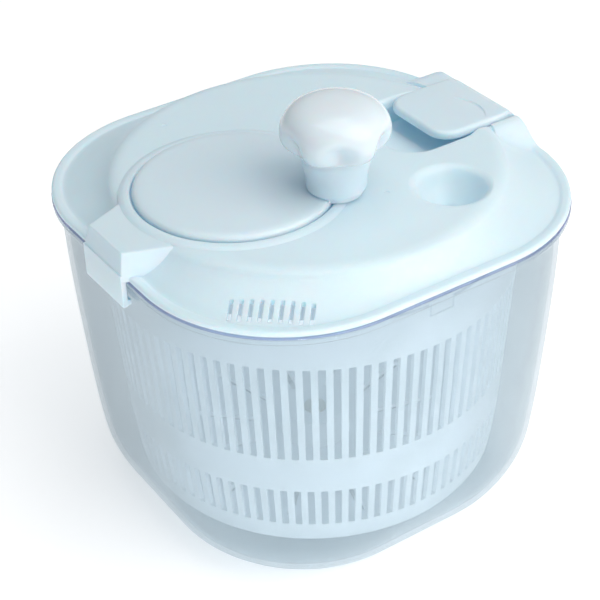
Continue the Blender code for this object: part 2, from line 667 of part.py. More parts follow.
def side_prism(name, outline, half_width):
    """A prism along X on a closed outline of (y, z) points, which may have inside corners."""
    mesh_data = bmesh.new()
    face = mesh_data.faces.new([mesh_data.verts.new((-half_width, y, z)) for y, z in outline])
    lifted = bmesh.ops.extrude_face_region(mesh_data, geom=[face])["geom"]
    verts = [g for g in lifted if isinstance(g, bmesh.types.BMVert)]
    bmesh.ops.translate(mesh_data, verts=verts, vec=(2 * half_width, 0, 0))
    bmesh.ops.triangulate(mesh_data, faces=mesh_data.faces)
    return add_object(name, mesh_data)


def rounded_outline(half_width, low_y, high_y, corner):
    """Rectangle in plan whose low-y corners are rounded."""
    points = [(half_width, high_y), (-half_width, high_y)]
    for i in range(6):
        angle = math.pi + math.pi / 2 * i / 5
        points.append(polar(corner, angle, (-half_width + corner, low_y + corner)))
    for i in range(6):
        angle = 1.5 * math.pi + math.pi / 2 * i / 5
        points.append(polar(corner, angle, (half_width - corner, low_y + corner)))
    return points


def make_hinge_pin(material):
    pin = turned("latch_hinge_pin", [(0.0010, -0.0263), (0.0010, 0.0263)], material, 12)
    pin.data.transform(Matrix.Rotation(math.pi / 2, 4, "Y"))
    pin.location = (0.0, HINGE_Y, HINGE_Z)
    return pin


def make_latch_spring(material):
    """Compression spring under the thumb tab, as one coiled wire."""
    low, high, coil_r, wire_r, turns = 0.1682, 0.1766, 0.0030, 0.0004, 4
    steps = turns * 10
    curve = bpy.data.curves.new("latch_spring", "CURVE")
    curve.dimensions = "3D"
    curve.bevel_depth = wire_r
    curve.bevel_resolution = 0
    curve.use_fill_caps = True
    spline = curve.splines.new("POLY")
    spline.points.add(steps)
    for i, point in enumerate(spline.points):
        angle = 2 * math.pi * turns * i / steps
        height = low + (high - low) * i / steps
        point.co = (*polar(coil_r, angle, (0.0, 0.0900)), height, 1.0)
    spring = bpy.data.objects.new("latch_spring", curve)
    bpy.context.scene.collection.objects.link(spring)
    curve.materials.append(material)
    return spring


# --- assembly -----------------------------------------------------------------------------------
def main():
    clear_scene()
    lid_plastic = make_material("lid_plastic", (0.62, 0.73, 0.78), 0.30)
    knob_plastic = make_material("knob_plastic", (0.72, 0.78, 0.85), 0.15)
    clear_plastic = make_material("clear_plastic", (0.70, 0.80, 0.86), 0.05, alpha=0.3)
    basket_plastic = make_material("basket_plastic", (0.74, 0.82, 0.89), 0.35)
    gear_plastic = make_material("gear_plastic", (0.80, 0.80, 0.78), 0.45)
    steel = make_material("steel", (0.60, 0.60, 0.62), 0.30, metallic=1.0)
    crank_xy = (0.0, CRANK_Y)

    make_bowl(clear_plastic)
    make_pivot_bush(gear_plastic)
    make_basket(basket_plastic)
    make_drive_spider(basket_plastic)
    make_drive_pinion(gear_plastic)
    make_washer("pinion_bush", 0.0086, 0.0061, 0.1641, 0.1669, (0.0, 0.0), gear_plastic)
    make_screw("pinion_screw", (0.0040, 0.1518, 0.1539), (0.0013, 0.1539, 0.1640), (0.0, 0.0), steel)
    make_gear_cover(lid_plastic)
    for number, centre in enumerate(COVER_SCREWS, 1):
        head = (0.0032, 0.1594, 0.1617)
        make_screw(f"cover_screw_{number}", head, (0.0013, 0.1617, 0.1710), centre, steel)
    make_lid_shell(lid_plastic)
    make_crank_disc(lid_plastic)
    make_drive_gear(gear_plastic)
    make_washer("crank_washer", 0.0060, 0.0024, 0.1668, 0.1680, crank_xy, steel)
    make_screw("crank_screw", (0.0046, 0.1643, 0.1665), (0.0015, 0.1665, 0.1770), crank_xy, steel)
    make_knob_cap(knob_plastic)
    make_washer("knob_bush", 0.0078, 0.0025, 0.2045, 0.2130, knob_centre(), gear_plastic)
    axle_head, axle_shank = (0.0052, 0.2134, 0.2159), (0.0021, 0.1900, 0.2134)
    make_screw("knob_axle_screw", axle_head, axle_shank, knob_centre(), steel, head_down=False)
    make_latch(lid_plastic)
    make_hinge_pin(steel)
    make_latch_spring(steel)


main()
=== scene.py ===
"""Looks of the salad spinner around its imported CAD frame.

Smooth mouldings, procedural plastics and a soft studio. Lengths are in metres, and +Z is up.
"""

import math

import bmesh
import bpy
from mathutils import Matrix, Vector


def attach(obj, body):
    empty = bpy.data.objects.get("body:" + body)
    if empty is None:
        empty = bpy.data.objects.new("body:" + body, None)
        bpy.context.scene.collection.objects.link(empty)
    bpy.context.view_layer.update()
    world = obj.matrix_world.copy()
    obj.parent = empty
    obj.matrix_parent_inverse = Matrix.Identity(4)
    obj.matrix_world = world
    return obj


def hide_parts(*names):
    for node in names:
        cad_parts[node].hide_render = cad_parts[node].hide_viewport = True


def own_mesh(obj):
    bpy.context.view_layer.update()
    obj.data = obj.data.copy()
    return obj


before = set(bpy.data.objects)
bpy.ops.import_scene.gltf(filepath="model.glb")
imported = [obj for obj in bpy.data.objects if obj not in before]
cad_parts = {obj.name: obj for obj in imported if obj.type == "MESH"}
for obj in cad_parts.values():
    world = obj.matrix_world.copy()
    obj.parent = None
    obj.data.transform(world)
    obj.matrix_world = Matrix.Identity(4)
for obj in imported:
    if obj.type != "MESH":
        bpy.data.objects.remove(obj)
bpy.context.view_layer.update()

TAU = 2 * math.pi
WALL = 0.0024  # thickness of the bowl's and the basket's walls
SLOTS = 92  # slots in each row round the basket
CRANK = (0.0, -0.041)  # the crank disc's axis, in plan
KNOB = (0.0328, -0.0057)  # the knob's axis, in plan
INLET = (0.0590, 0.0415)  # the middle of the water inlet, in plan
HINGE = (0.0, 0.1020, 0.1745)  # the middle of the latch's pin
SPRING = (0.0, 0.0900)  # the latch spring's axis, in plan
HOOK_X = 0.003  # the middle of the fixed hook
HOOK_FRONT = -0.1153  # the fixed hook's outer face
FLANGE_Z = 0.1672  # foot of the shoulders beside the latch
DECK_Z = 0.1797  # edge of the lid's flat top, and top of the shoulders
TOP_Z = 0.2280  # top of the knob
BEYOND = 0.0300  # half length of a cutter that goes right through the latch


# --- materials ----------------------------------------------------------------------------------
PLASTIC_IOR = 1.49
COAT_ROUGHNESS = 0.12
CLEAR_GLOSS = 0.05  # roughness of the clear bowl's reflections
SCATTER_RADIUS = (0.35, 0.8, 1.0)  # blue light goes deepest into the plastic
SCATTER_DEPTH = 0.006
DRIFT, WEAR, PEEL, GRAIN = 14.0, 160.0, 220.0, 2600.0  # noise scales of moulded plastic, per metre


def new_material(name):
    """Node material with an empty tree, and that tree."""
    material = bpy.data.materials.new(name)
    material.use_nodes = True
    tree = material.node_tree
    tree.nodes.clear()
    return material, tree


def add(tree, kind, **sockets):
    """New node with some of its sockets set; an underscore stands for a space in a socket's name."""
    node = tree.nodes.new(kind)
    for key, value in sockets.items():
        node.inputs[key.replace("_", " ")].default_value = value
    return node


def noise(tree, scale, detail, roughness=0.55):
    """Output of a noise texture fixed to the object."""
    node = add(tree, "ShaderNodeTexNoise", Scale=scale, Detail=detail, Roughness=roughness)
    where = tree.nodes.new("ShaderNodeTexCoord")
    tree.links.new(where.outputs["Object"], node.inputs["Vector"])
    return node.outputs["Fac"]


def bump(tree, scale, detail, strength, distance):
    """Bump node that follows noise."""
    node = add(tree, "ShaderNodeBump", Strength=strength, Distance=distance)
    tree.links.new(noise(tree, scale, detail), node.inputs["Height"])
    return node


def remap(tree, source, low, high, start=0.3, end=0.7):
    """Stretches a source from start..end to low..high."""
    node = tree.nodes.new("ShaderNodeMapRange")
    node.inputs["From Min"].default_value = start
    node.inputs["From Max"].default_value = end
    node.inputs["To Min"].default_value = low
    node.inputs["To Max"].default_value = high
    tree.links.new(source, node.inputs["Value"])
    return node.outputs["Result"]


def calculate(tree, operation, source, *values):
    """Math node on a source, with numbers in its next inputs."""
    node = tree.nodes.new("ShaderNodeMath")
    node.operation = operation
    tree.links.new(source, node.inputs[0])
    for place, value in enumerate(values, 1):
        node.inputs[place].default_value = value
    return node


def colour_mix(tree, factor, first, second):
    """Goes from the first colour to the second as the factor goes from 0 to 1."""
    node = tree.nodes.new("ShaderNodeMix")
    node.data_type = "RGBA"
    node.inputs["A"].default_value = (*first, 1)
    node.inputs["B"].default_value = (*second, 1)
    tree.links.new(factor, node.inputs["Factor"])
    return node.outputs["Result"]


def shader_mix(tree, first, second):
    """Mix of two shaders, with its factor left to set or link."""
    node = tree.nodes.new("ShaderNodeMixShader")
    tree.links.new(first, node.inputs[1])
    tree.links.new(second, node.inputs[2])
    return node


def show(tree, shader):
    """Sends a shader to the material's surface."""
    out = tree.nodes.new("ShaderNodeOutputMaterial")
    tree.links.new(shader, out.inputs["Surface"])


def moulded(name, light, dark, rough, grain=0.012, coat=0.0, subsurface=0.0, painted_glow=None):
    """Injection-moulded plastic: slow colour drift, fine grain, faint orange peel, uneven gloss, and an
    optional painted glow.

    rough is the lowest and the highest roughness. The last argument is a colour and a strength for a
    painted glow: an emission that lifts the plastic's shade and stands for the light that thin walls let
    through from behind.
    """
    material, tree = new_material(name)
    shader = tree.nodes.new("ShaderNodeBsdfPrincipled")
    drift = remap(tree, noise(tree, DRIFT, 2.0), 0, 1)
    tree.links.new(colour_mix(tree, drift, dark, light), shader.inputs["Base Color"])
    wear = noise(tree, WEAR, 4.0, 0.65)
    tree.links.new(remap(tree, wear, *rough), shader.inputs["Roughness"])
    shader.inputs["IOR"].default_value = PLASTIC_IOR
    shader.inputs["Coat Weight"].default_value = coat
    shader.inputs["Coat Roughness"].default_value = COAT_ROUGHNESS
    if subsurface:
        shader.inputs["Subsurface Weight"].default_value = subsurface
        shader.inputs["Subsurface Radius"].default_value = SCATTER_RADIUS
        shader.inputs["Subsurface Scale"].default_value = SCATTER_DEPTH
    # painted glow: emission that lifts the plastic's shade, standing in for light let through thin walls
    if painted_glow:
        shader.inputs["Emission Color"].default_value = (*painted_glow[:3], 1)
        shader.inputs["Emission Strength"].default_value = painted_glow[3]
    peel = bump(tree, PEEL, 2.0, strength=0.03, distance=0.0008)
    fine = bump(tree, GRAIN, 3.0, strength=grain, distance=0.0002)
    tree.links.new(peel.outputs["Normal"], fine.inputs["Normal"])
    tree.links.new(fine.outputs["Normal"], shader.inputs["Normal"])
    show(tree, shader.outputs["BSDF"])
    return material


def clear_plastic(name, tint, haze_colour, haze, edge_haze=0.45, edge_power=3.0):
    """Clear wall: tinted see-through, with haze and sharp reflections that both grow edge-on."""
    material, tree = new_material(name)
    through = add(tree, "ShaderNodeBsdfTransparent", Color=(*tint, 1))
    front = add(tree, "ShaderNodeBsdfDiffuse", Color=(*haze_colour, 1), Roughness=0.6)
    back = add(tree, "ShaderNodeBsdfTranslucent", Color=(*haze_colour, 1))
    gloss = add(tree, "ShaderNodeBsdfGlossy", Color=(1, 1, 1, 1), Roughness=CLEAR_GLOSS)
    facing = add(tree, "ShaderNodeLayerWeight", Blend=0.5)
    ripple = bump(tree, 45.0, 2.0, strength=0.05, distance=0.0006)
    for node in (gloss, facing):
        tree.links.new(ripple.outputs["Normal"], node.inputs["Normal"])
    cloud = remap(tree, noise(tree, 24.0, 3.0), haze * 0.75, haze * 1.25)
    edge = calculate(tree, "POWER", facing.outputs["Facing"], edge_power)
    total = calculate(tree, "MULTIPLY_ADD", edge.outputs["Value"], edge_haze)
    tree.links.new(cloud, total.inputs[2])
    steep = calculate(tree, "POWER", facing.outputs["Facing"], 4.2)
    fresnel = calculate(tree, "MULTIPLY_ADD", steep.outputs["Value"], 0.55, 0.035)
    body = shader_mix(tree, front.outputs["BSDF"], back.outputs["BSDF"])
    body.inputs["Fac"].default_value = 0.45
    hazy = shader_mix(tree, through.outputs["BSDF"], body.outputs["Shader"])
    tree.links.new(total.outputs["Value"], hazy.inputs["Fac"])
    surface = shader_mix(tree, hazy.outputs["Shader"], gloss.outputs["BSDF"])
    tree.links.new(fresnel.outputs["Value"], surface.inputs["Fac"])
    show(tree, surface.outputs["Shader"])
    return material


def metal(name):
    """Plain steel with a slightly uneven polish."""
    material, tree = new_material(name)
    shader = add(tree, "ShaderNodeBsdfPrincipled", Metallic=1.0, Base_Color=(0.62, 0.62, 0.64, 1))
    tree.links.new(remap(tree, noise(tree, 900.0, 4.0), 0.22, 0.42), shader.inputs["Roughness"])
    polish = bump(tree, 3000.0, 2.0, strength=0.08, distance=0.0001)
    tree.links.new(polish.outputs["Normal"], shader.inputs["Normal"])
    show(tree, shader.outputs["BSDF"])
    return material


# The lid, knob and basket each carry a painted glow; the basket's is strongest and brightens its inside and
# its slots.
LID = moulded("lid_blue_white", (0.700, 0.812, 0.868), (0.682, 0.798, 0.856), (0.30, 0.42),
              subsurface=0.7, painted_glow=(0.20, 0.60, 1.0, 0.04))
KNOB_WHITE = moulded("knob_gloss", (0.780, 0.865, 0.920), (0.760, 0.850, 0.905), (0.14, 0.22),
                     coat=0.25, subsurface=0.6, painted_glow=(0.50, 0.72, 1.0, 0.01))
BASKET = moulded("basket_white", (0.850, 0.880, 0.905), (0.830, 0.865, 0.892), (0.34, 0.46),
                 painted_glow=(0.84, 0.94, 1.0, 0.155))
ACETAL = moulded("acetal", (0.82, 0.82, 0.79), (0.77, 0.77, 0.74), (0.38, 0.55), grain=0.03)
BOWL = clear_plastic("bowl_clear", (0.850, 0.880, 0.895), (0.50, 0.60, 0.66), 0.12)
# The rim's edge band: its violet is the plastic's tint deepened along the long path through the rim; its
# darkness is painted shade for the light that the clear edge bends away.
RIM = clear_plastic("bowl_rim_edge", (0.55, 0.60, 0.80), (0.10, 0.11, 0.34), 0.06,
                    edge_haze=0.95, edge_power=2.0)
STEEL = metal("steel_plain")


# --- mesh helpers -------------------------------------------------------------------------------
def square_reach(angle, half, corner):
    """Distance from the centre to a rounded square's edge along a polar angle."""
    folded = angle % (math.pi / 2)
    folded = min(folded, math.pi / 2 - folded)
    inset = half - corner
    if math.tan(folded) * half <= inset:
        return half / math.cos(folded)
    along = inset * (math.cos(folded) + math.sin(folded))
    return along + math.sqrt(along * along - 2 * inset * inset + corner * corner)


def smooth(stations, steps):
    """Curve through stations (Catmull-Rom), each a tuple of numbers, in steps per span."""
    out = []
    for i in range(len(stations) - 1):
        p1, p2 = stations[i], stations[i + 1]
        p0 = stations[i - 1] if i else [2 * a - b for a, b in zip(p1, p2)]
        p3 = stations[i + 2] if i + 2 < len(stations) else [2 * a - b for a, b in zip(p2, p1)]
        for k in range(steps):
            t = k / steps
            out.append(tuple(
                0.5 * (2 * b + (c - a) * t + (2 * a - 5 * b + 4 * c - d) * t * t
                       + (3 * b - a - 3 * c + d) * t ** 3)
                for a, b, c, d in zip(p0, p1, p2, p3)))
    out.append(tuple(stations[-1]))
    return out


def make(name, mesh_data, *materials):
    """Object from a finished bmesh, with its faces turned outwards."""
    bmesh.ops.remove_doubles(mesh_data, verts=mesh_data.verts, dist=1e-7)
    bmesh.ops.recalc_face_normals(mesh_data, faces=mesh_data.faces)
    mesh = bpy.data.meshes.new(name)
    mesh_data.to_mesh(mesh)
    mesh_data.free()
    piece = bpy.data.objects.new(name, mesh)
    bpy.context.scene.collection.objects.link(piece)
    for material in materials:
        mesh.materials.append(material)
    return piece


def skin(name, rings, *materials, closed=False, slot_of=None):
    """Surface over rings of points: capped at both ends, or closed on itself.

    slot_of gives the material slot of each band of faces, counted from the first ring.
    """
    mesh_data = bmesh.new()
    loops = [[mesh_data.verts.new(p) for p in ring] for ring in rings]
    count = len(rings[0])
    pairs = list(zip(loops, loops[1:])) + ([(loops[-1], loops[0])] if closed else [])
    for band, (low, high) in enumerate(pairs):
        for i in range(count):
            j = (i + 1) % count
            face = mesh_data.faces.new((low[i], low[j], high[j], high[i]))
            if slot_of:
                face.material_index = slot_of(band)
    if not closed:
        for ring in (loops[0], loops[-1]):
            hub = mesh_data.verts.new(sum((v.co for v in ring), Vector()) / count)
            for i in range(count):
                mesh_data.faces.new((ring[i], ring[(i + 1) % count], hub))
    return make(name, mesh_data, *materials)


def circle(radius, z, count, centre=(0.0, 0.0), lobes=0, depth=0.0):
    """Ring of points; depth is how far it is pulled in between its lobes, as a share of the radius."""
    narrowing = 1.35  # above 1 the hollows are narrower than the lobes
    points = []
    for i in range(count):
        angle = TAU * (i + 0.5) / count
        pull = (0.5 - 0.5 * math.cos(lobes * angle)) ** narrowing
        reach = radius * (1 - depth * pull)
        points.append(Vector((centre[0] + reach * math.cos(angle), centre[1] + reach * math.sin(angle), z)))
    return points


def blend(share, radius, half, corner, z, count):
    """Ring part of the way from a circle to a rounded square."""
    points = []
    for i in range(count):
        angle = TAU * (i + 0.5) / count
        reach = radius * (1 - share) + square_reach(angle, half, corner) * share
        points.append(Vector((reach * math.cos(angle), reach * math.sin(angle), z)))
    return points


def turned(name, profile, *materials, count, centre=(0.0, 0.0), closed=False):
    """Solid of revolution about a vertical axis, from (radius, height) points."""
    return skin(name, [circle(r, z, count, centre) for r, z in profile], *materials, closed=closed)


def outline_loft(name, levels, *materials):
    """Solid through outlines in plan, each given with its height."""
    return skin(name, [[Vector((x, y, z)) for x, y in outline] for outline, z in levels], *materials)


def corner_outline(x0, x1, y0, y1, radius, steps):
    """Rounded rectangle in plan, with steps in each corner."""
    points = []
    for k, (cx, cy) in enumerate(((x1 - radius, y1 - radius), (x0 + radius, y1 - radius),
                                  (x0 + radius, y0 + radius), (x1 - radius, y0 + radius))):
        for i in range(steps + 1):
            angle = math.pi / 2 * (k + i / steps)
            points.append((cx + radius * math.cos(angle), cy + radius * math.sin(angle)))
    return points


def tube_ring(middle, out, width, height, sides):
    """Upright ring of points round one point of a level tube; out points away from the bend."""
    points = []
    for side in range(sides):
        turn = TAU * side / sides
        points.append(middle + out * (width * math.cos(turn)) + Vector((0, 0, height * math.sin(turn))))
    return points


def extrude(name, outline, place):
    """Prism from an outline of (u, v) points; place puts a point of end 0 or 1 in space."""
    mesh_data = bmesh.new()
    ends = [[mesh_data.verts.new(place(u, v, end)) for u, v in outline] for end in (0, 1)]
    for ring in ends:
        mesh_data.faces.new(ring)
    for i in range(len(outline)):
        j = (i + 1) % len(outline)
        mesh_data.faces.new((ends[0][i], ends[0][j], ends[1][j], ends[1][i]))
    bmesh.ops.triangulate(mesh_data, faces=[f for f in mesh_data.faces if len(f.verts) > 4])
    return make(name, mesh_data)


def box(name, low, high):
    """Box between its lowest and highest corners."""
    outline = ((low[0], low[1]), (high[0], low[1]), (high[0], high[1]), (low[0], high[1]))
    return extrude(name, outline, lambda x, y, end: (x, y, (low[2], high[2])[end]))


def side_profile(name, outline, half):
    """Prism across the spinner, from a side view of (y, z) points."""
    return extrude(name, outline, lambda y, z, end: ((-half, half)[end], y, z))


def apply(piece):
    """Turns a piece's modifiers into its mesh."""
    graph = bpy.context.evaluated_depsgraph_get()
    mesh = bpy.data.meshes.new_from_object(piece.evaluated_get(graph))
    piece.modifiers.clear()
    piece.data = mesh


def bevel(piece, width, segments=2, angle=30.0):
    """Rounds the edges that are sharper than the angle, in degrees."""
    modifier = piece.modifiers.new("bevel", "BEVEL")
    modifier.width = width
    modifier.segments = segments
    modifier.limit_method = "ANGLE"
    modifier.angle_limit = math.radians(angle)
    modifier.miter_outer = "MITER_ARC"
    apply(piece)
    return piece


def combine(target, operation, *tools):
    """Joins tools to the target, or cuts with them, and removes them."""
    for tool in tools:
        modifier = target.modifiers.new("join", "BOOLEAN")
        modifier.operation = operation
        modifier.solver = "EXACT"
        modifier.object = tool
        apply(target)
        mesh_data = bmesh.new()
        mesh_data.from_mesh(target.data)
        bmesh.ops.triangulate(mesh_data, faces=mesh_data.faces)
        bmesh.ops.remove_doubles(mesh_data, verts=mesh_data.verts, dist=1e-6)
        mesh_data.to_mesh(target.data)
        mesh_data.free()
        bpy.data.objects.remove(tool, do_unlink=True)


def shade(piece, angle):
    """Smooth faces with crisp creases, and normals led by the large faces."""
    piece.data.shade_smooth()
    piece.data.set_sharp_from_angle(angle=math.radians(angle))
    weighted = piece.modifiers.new("weighted", "WEIGHTED_NORMAL")
    weighted.keep_sharp = True
    weighted.weight = 80


def finish_piece(piece, body, node, angle=38.0):
    """Shades a piece and puts it on its body, in place of its CAD node."""
    shade(piece, angle)
    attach(piece, body)
    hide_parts(node)


# --- bowl ---------------------------------------------------------------------------------------
def make_bowl():
    """One wall, followed from under the floor up the outside, over the rim and down the inside.

    Square stations are (half width, corner radius, height) and round ones (radius, height).
    """
    recess = ((0.0590, 0.0010), (0.0600, 0.0010), (0.0602, 0.0))
    foot = ((0.0780, 0.0590, 0.0), (0.0822, 0.0622, 0.0002), (0.0855, 0.0646, 0.0013))
    outside = ((0.0885, 0.067, 0.0030), (0.0955, 0.072, 0.0120), (0.1010, 0.075, 0.0250),
               (0.1036, 0.077, 0.0400), (0.1060, 0.078, 0.0700), (0.1084, 0.077, 0.1200),
               (0.1094, 0.0765, 0.1590))
    flare = ((0.1100, 0.0764, 0.1605), (0.1112, 0.0761, 0.1615), (0.1119, 0.0760, 0.1624),
             (0.1120, 0.0760, 0.1632), (0.1120, 0.0760, 0.1652), (0.1117, 0.0757, 0.1658),
             (0.1111, 0.0751, 0.1660))
    top = ((0.1103, 0.0743, 0.1660), (0.1097, 0.0737, 0.1657), (0.1096, 0.0736, 0.1640),
           (0.1092, 0.0735, 0.1628))
    down = reversed(smooth(outside[1:], 5))
    rise = 0.0008  # the inside's stations sit this much above the outside's
    inside = [(half - WALL, corner - WALL, z + rise) for half, corner, z in down]
    floor = ((0.0900, 0.067, 0.0088), (0.0850, 0.064, 0.0052), (0.0815, 0.0615, 0.0036),
             (0.0780, 0.059, 0.0030))
    pivot = ((0.0130, 0.0030), (0.0112, 0.0033), (0.0102, 0.0044), (0.0085, 0.0150),
             (0.0045, 0.0202), (0.0036, 0.0211), (0.0020, 0.0215))
    points = 176
    wall = [*foot, *smooth(outside, 5)]
    rim_edge = len(recess) + len(wall) + 4  # the lower of two bands that round the rim's outer edge
    rings = [circle(radius, z, points) for radius, z in recess]
    rings += [blend(1.0, 0.0, *station, points) for station in (*wall, *flare, *top, *inside, *floor)]
    rings += [circle(radius, z, points) for radius, z in pivot]
    # the two rim bands take RIM, whose dark violet is partly painted shade
    bowl = skin("bowl_clear", rings, BOWL, RIM,
                slot_of=lambda band: 1 if band in (rim_edge, rim_edge + 1) else 0)
    finish_piece(bowl, "bowl", "bowl", angle=50)


# --- basket -------------------------------------------------------------------------------------
def basket_radius(z):
    """Outer radius of the basket's wall at a height."""
    stations = ((0.0135, 0.0820), (0.0150, 0.0868), (0.0180, 0.0908), (0.0220, 0.0932),
                (0.031, 0.0946), (0.054, 0.0970), (0.075, 0.0985), (0.131, 0.1027), (0.155, 0.104))
    for (z0, r0), (z1, r1) in zip(stations, stations[1:]):
        if z <= z1:
            return r0 + (r1 - r0) * (z - z0) / (z1 - z0)
    return stations[-1][1]


def basket_shell():
    """Floor, and a wall of ribs between two rows of slots, with four drive notches in its rim.

    The wall is a grid of cells: even columns are slots, odd columns ribs, and a cell that is open
    is left out and walled in by its closed neighbours.
    """
    columns = 2 * SLOTS
    slot_share = 0.52  # the part of each pitch that is slot
    notch_half = 0.0690  # half of each drive notch, in radians
    heights = [0.0135, 0.0150, 0.0180, 0.0220, 0.0265, 0.031, 0.054, 0.060, 0.068, 0.075]
    heights += [0.0845, 0.094, 0.1035, 0.113, 0.122, 0.131, 0.137, 0.144, 0.149, 0.1520, 0.1546, 0.155]
    slot_rows = {5, *range(9, 15)}  # the grid's rows that the short and the long slots run through
    first_notch = heights.index(0.149)  # the notches run from this row to the rim
    first_lug = TAU / (4 * SLOTS)  # bearing of the first notch's middle
    rounding = 0.0004  # how far the rim's edges draw in
    mesh_data = bmesh.new()

    def angle_of(column):
        slot, edge = divmod(column, 2)
        return TAU * (slot + 1 + (edge - 0.5) * slot_share) / SLOTS

    def ring(radius, z):
        spots = [(radius * math.cos(angle_of(i)), radius * math.sin(angle_of(i))) for i in range(columns)]
        return [mesh_data.verts.new((x, y, z)) for x, y in spots]

    outer = [ring(basket_radius(z), z) for z in heights]
    inner = [ring(0.0806, 0.0159), ring(0.0846, 0.0166), ring(0.0884, 0.0190)]
    inner += [ring(basket_radius(z) - WALL, z) for z in heights[3:]]
    for loop, grow in ((outer[-1], -rounding), (inner[-1], rounding)):
        for vert in loop:
            reach = math.hypot(vert.co.x, vert.co.y)
            vert.co.x *= (reach + grow) / reach
            vert.co.y *= (reach + grow) / reach

    def is_open(row, column):
        column %= columns
        if row in slot_rows:
            return column % 2 == 0
        if row < first_notch:
            return False
        middle = (angle_of(column) + angle_of(column + 1)) / 2
        from_lug = (middle - first_lug + TAU / 8) % (TAU / 4) - TAU / 8
        return abs(from_lug) < notch_half

    rows = len(heights) - 1
    for row in range(rows):
        for i in range(columns):
            j = (i + 1) % columns
            if not is_open(row, i):
                mesh_data.faces.new((outer[row][i], outer[row][j], outer[row + 1][j], outer[row + 1][i]))
                mesh_data.faces.new((inner[row][j], inner[row][i], inner[row + 1][i], inner[row + 1][j]))
                if row + 1 == rows or is_open(row + 1, i):
                    front, back = outer[row + 1], inner[row + 1]
                    mesh_data.faces.new((front[i], front[j], back[j], back[i]))
                if row and is_open(row - 1, i):
                    front, back = outer[row], inner[row]
                    mesh_data.faces.new((front[j], front[i], back[i], back[j]))
                continue
            if not is_open(row, i - 1):
                mesh_data.faces.new((outer[row][i], outer[row + 1][i], inner[row + 1][i], inner[row][i]))
            if not is_open(row, j):
                mesh_data.faces.new((outer[row + 1][j], outer[row][j], inner[row][j], inner[row + 1][j]))
    for loop in (outer[0], inner[0]):
        middle = mesh_data.verts.new((0.0, 0.0, loop[0].co.z))
        for i in range(columns):
            mesh_data.faces.new((loop[i], loop[(i + 1) % columns], middle))
    return make("basket_shell", mesh_data, BASKET)


def make_basket():
    """Shell with the hub that seats on the bowl's pivot, and radial slots in its floor."""
    basket = basket_shell()
    hub = ((0.0195, 0.0145), (0.0186, 0.0166), (0.0178, 0.0185), (0.0157, 0.0268), (0.0147, 0.0284),
           (0.0125, 0.0290))
    seat = ((0.0128, 0.012), (0.0128, 0.0249), (0.0061, 0.0249), (0.0061, 0.031))
    combine(basket, "UNION", turned("hub", hub, count=64))
    combine(basket, "DIFFERENCE", turned("seat", seat, count=48))
    floor_slot = corner_outline(0.034, 0.072, -0.0018, 0.0018, 0.0017, 4)
    floor_slots = 12
    for i in range(floor_slots):
        cutter = outline_loft("radial", [(floor_slot, 0.010), (floor_slot, 0.018)])
        cutter.matrix_world = Matrix.Rotation(TAU * (i + 0.5) / floor_slots, 4, "Z")
        combine(basket, "DIFFERENCE", cutter)
    finish_piece(basket, "basket", "basket", angle=35)


# --- lid ----------------------------------------------------------------------------------------
def hook_outline(half_front, half_back, front):
    """The fixed hook's block in plan, wider at the back."""
    back = -0.0905
    return [(HOOK_X - half_front, front), (HOOK_X + half_front, front),
            (HOOK_X + half_back, back), (HOOK_X - half_back, back)]


def dish(name, grow, drop):
    """Rounded-rectangle dish under the thumb tab; grow and drop make its outside.

    Stations are (inset from the mouth's outline, height).
    """
    stations = ((0.0150, 0.1681), (0.0115, 0.1683), (0.0078, 0.1697), (0.0046, 0.1722), (0.0022, 0.1755),
                (0.0006, 0.1786), (-0.0006, 0.1797), (-0.0022, 0.18035), (-0.0045, 0.1812))
    levels = []
    for inset, z in smooth(stations, 3):
        corner = max(0.0170 - inset * 0.7, 0.006) + grow
        side, near, far = 0.0270 - inset + grow, 0.0392 + inset - grow, 0.0920 - inset + grow
        levels.append((corner_outline(-side, side, near, far, corner, 10), z - drop))
    return outline_loft(name, levels)


def raise_shoulders(ring, share):
    """Lifts the flange into smooth shoulders either side of the latch; the left one is broader.

    From the outer distance to the full one the height eases from the flange up to the deck.
    """
    ease, slack = 0.0008, 0.0001  # softness of the join with the flange, and what that would add
    for point in ring:
        if point.y <= 0:
            continue
        outer, full = (0.0560, 0.0340) if point.x < 0 else (0.0440, 0.0265)
        t = min(max((outer - abs(point.x)) / (outer - full), 0.0), 1.0)
        height = FLANGE_Z + (DECK_Z - FLANGE_Z) * t * t * (3 - 2 * t)
        gap = height - point.z
        lift = 0.5 * (gap + math.sqrt(gap * gap + ease ** 2)) - slack
        point.z += max(lift, 0.0) * share * min(t * 4, 1.0)


